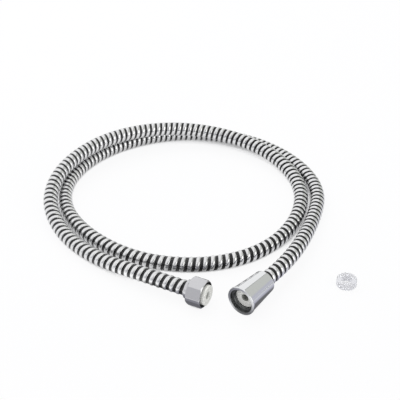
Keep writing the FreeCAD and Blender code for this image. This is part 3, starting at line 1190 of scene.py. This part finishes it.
@dataclass(frozen=True)
class PaintedOval:
    """An oval of painted shadow or painted light on the floor, which bright metal mirrors darker or brighter
    than the rest.

    size is its half length and half width, turn its turn about Z in degrees, and soft the share of its
    size over which it fades, inwards and outwards.
    """

    middle: tuple[float, float]
    size: tuple[float, float]
    turn: float
    color: Colour
    soft: float = 0.35

    def mask(self, wiring: Wiring, point: bpy.types.NodeSocket) -> bpy.types.NodeSocket:
        """Place nodes that give 1 where a point is inside the oval and 0 outside it."""
        place = wiring.node("ShaderNodeMapping", {
            "Vector": point, "Location": (*self.middle, 0.0),
            "Rotation": (0.0, 0.0, math.radians(self.turn)), "Scale": (*self.size, 1.0)},
            vector_type="TEXTURE")
        away = wiring.vector("LENGTH", place.outputs["Vector"])
        return wiring.step(away, 1.0 + self.soft, 1.0 - self.soft)


# Painted shadows under the nuts and beside the near strands, painted grey and lavender floor reflections, and
# one painted pool of light, seen only in bright metal.
PAINTED_FLOOR_OVALS = (
    PaintedOval((-0.050, -0.125), (0.055, 0.020), -27.0, (1.3, 1.3, 1.3)),
    PaintedOval((1.200, -0.120), (1.100, 0.350), 0.0, (0.58, 0.59, 0.65), 0.08),
    PaintedOval((0.080, -0.140), (0.050, 0.045), 51.5, (0.55, 0.55, 0.64)),
    PaintedOval((0.003, -0.112), (0.055, 0.025), 0.0, (0.10, 0.10, 0.10)),
    PaintedOval((0.0585, -0.1325), (0.034, 0.024), 51.5, (0.16, 0.16, 0.17)),
    PaintedOval((-0.003, -0.140), (0.028, 0.036), -27.0, (0.36, 0.36, 0.40)),
    PaintedOval((0.0033, -0.1284), (0.020, 0.018), -27.0, (0.19, 0.19, 0.21)),
)


@dataclass
class Studio:
    """A pale floor, a soft room with one lamp, and the camera of the photo.

    The camera sees the floor glow by camera_share of its full white. Within gap_reach of the object it
    glows less, from gap_open of open air down to none at gap_shut. Bright metal sees glossy_share of it.
    """

    pitch: float = 35.0
    distance: float = 1.1
    target: Vector = field(default_factory=lambda: Vector((0.0064, 0.029, 0.0)))
    sensor_width: float = 36.0
    lens_over_width: float = 2.75
    floor_half: float = 4.0
    floor_color: Colour = (0.84, 0.84, 0.85)
    floor_roughness: float = 0.9
    camera_share: float = 0.92
    gap_reach: float = 20.0 * MM
    gap_shut: float = 0.06
    gap_open: float = 0.26
    gap_samples: int = 8
    glossy_share: float = 0.4
    glow: Colour = (0.995, 0.995, 1.0)
    walls: Colour = (0.68, 0.68, 0.70)
    lamp_place: Vector = field(default_factory=lambda: Vector((-0.5, 0.7, 1.5)))
    lamp_size: tuple[float, float] = (1.8, 1.4)
    lamp_level: float = 1.6

    def camera(self) -> None:
        """Set the camera at the photo's angle."""
        data = bpy.data.cameras.new("camera")
        data.sensor_width = self.sensor_width
        data.lens = self.lens_over_width * self.sensor_width
        camera = new_object("camera", data)
        tilt = math.radians(self.pitch)
        camera.location = self.target + self.distance * Vector((0.0, -math.cos(tilt), math.sin(tilt)))
        camera.rotation_euler = (math.pi / 2 - tilt, 0.0, 0.0)
        bpy.context.scene.camera = camera

    def floor_material(self) -> bpy.types.Material:
        """The floor's material.

        Returns:
            A matt pale surface under a glow, which makes it white with a faint shadow to the camera,
            darker in narrow gaps, and pale in metal and glass, with ovals of painted shadow and painted light
            in metal.
        """
        material = bpy.data.materials.new("floor")
        material.use_nodes = True
        wiring = Wiring(material.node_tree)
        surface = wiring.nodes["Principled BSDF"]
        wiring.fill(surface, {"Base Color": (*self.floor_color, 1.0), "Roughness": self.floor_roughness})
        path = wiring.node("ShaderNodeLightPath").outputs
        point = wiring.node("ShaderNodeNewGeometry").outputs["Position"]
        white = (*self.glow, 1.0)
        painted_tone: Feed = white
        cover: Feed = self.glossy_share
        # Painted shadows and a painted pool of light: the ovals, seen in glossy rays only.
        for oval in PAINTED_FLOOR_OVALS:
            mask = oval.mask(wiring, point)
            painted_tone = wiring.mixed(mask, painted_tone, (*oval.color, 1.0))
            cover = wiring.math("MAXIMUM", cover, mask)
        shown = wiring.mixed(path["Is Glossy Ray"], white, painted_tone)
        glow = wiring.node("ShaderNodeEmission", {"Color": shown})
        around = wiring.node("ShaderNodeAmbientOcclusion", {"Distance": self.gap_reach},
                             samples=self.gap_samples)
        open_air = wiring.step(around.outputs["AO"], self.gap_shut, self.gap_open)
        open_share = wiring.math("MULTIPLY", open_air, self.camera_share)
        seen = wiring.math("MULTIPLY", path["Is Camera Ray"], open_share)
        mirrored = wiring.math("MULTIPLY", path["Is Glossy Ray"], cover)
        through = wiring.math("MULTIPLY", path["Is Transmission Ray"], self.camera_share)
        share = wiring.math("MAXIMUM", seen, wiring.math("MAXIMUM", mirrored, through))
        mix = wiring.node("ShaderNodeMixShader")
        wiring.feed(mix.inputs, (share, surface.outputs[0], glow.outputs[0]))
        wiring.fill(wiring.nodes["Material Output"], {"Surface": mix.outputs[0]})
        return material

    def floor(self) -> None:
        """Lay the floor."""
        half = self.floor_half
        corners = [(-half, -half, 0), (half, -half, 0), (half, half, 0), (-half, half, 0)]
        mesh = bpy.data.meshes.new("floor")
        mesh.from_pydata(corners, [], [(0, 1, 2, 3)])
        mesh.materials.append(self.floor_material())
        new_object("floor", mesh)

    def world(self) -> None:
        """Light the room with large soft patches, as bright metal shows them, and white where it is seen."""
        world = bpy.data.worlds.new("room")
        bpy.context.scene.world = world
        world.use_nodes = True
        wiring = Wiring(world.node_tree)
        towards = wiring.node("ShaderNodeTexCoord").outputs["Generated"]
        colour: Feed = (*self.walls, 1.0)
        for patch in ROOM:
            near = wiring.vector("DOT_PRODUCT", towards, tuple(Vector(patch.towards).normalized()))
            outer = math.cos(math.radians(patch.half_angle + patch.soft))
            inner = math.cos(math.radians(patch.half_angle - patch.soft))
            colour = wiring.mixed(wiring.step(near, outer, inner), colour, (*patch.color, 1.0))
        path = wiring.node("ShaderNodeLightPath").outputs
        seen = wiring.math("MAXIMUM", path["Is Camera Ray"], path["Is Transmission Ray"])
        colour = wiring.mixed(seen, colour, (*self.glow, 1.0))
        wiring.fill(wiring.nodes["Background"], {"Color": colour})

    def lamp(self) -> None:
        """Hang the soft rectangular lamp that looks at the target; at a level of 1 its face is white."""
        data = bpy.data.lights.new("overhead", "AREA")
        data.shape = "RECTANGLE"
        data.size, data.size_y = self.lamp_size
        data.energy = self.lamp_level * math.pi * self.lamp_size[0] * self.lamp_size[1]
        lamp = new_object("overhead", data)
        lamp.location = self.lamp_place
        lamp.rotation_mode = "QUATERNION"
        lamp.rotation_quaternion = (self.target - self.lamp_place).to_track_quat("-Z", "Y")
        lamp.visible_glossy = False

    def build(self) -> None:
        """Set up the whole studio."""
        self.camera()
        self.floor()
        self.world()
        self.lamp()
        bpy.context.scene.view_settings.view_transform = "Standard"


def main() -> None:
    """Build every piece in order."""
    logging.basicConfig(level=logging.INFO, format="%(name)s: %(message)s")
    Studio().build()
    finishes = Finishes()
    Hose().build(finishes)
    tap = HoseEnd("tap", Vector(ROUTE[0]), Vector(ROUTE[2]), Body.TAP_RING, shoulder=-12.6 * MM)
    tap.build(finishes, finishes.tap_bore_painted_shade)
    HexNut().build(tap, finishes.hex_chrome, finishes.shaded_lining)
    handset = HoseEnd("handset", Vector(ROUTE[-1]), Vector(ROUTE[-3]), Body.HANDSET_RING, shoulder=-4.7 * MM)
    handset.build(finishes, finishes.handset_bore_painted_shade)
    ConeNut().build(handset, finishes.cone_chrome, finishes.shaded_lining)
    Washer().build(finishes.clear)


if __name__ == "__main__":
    main()
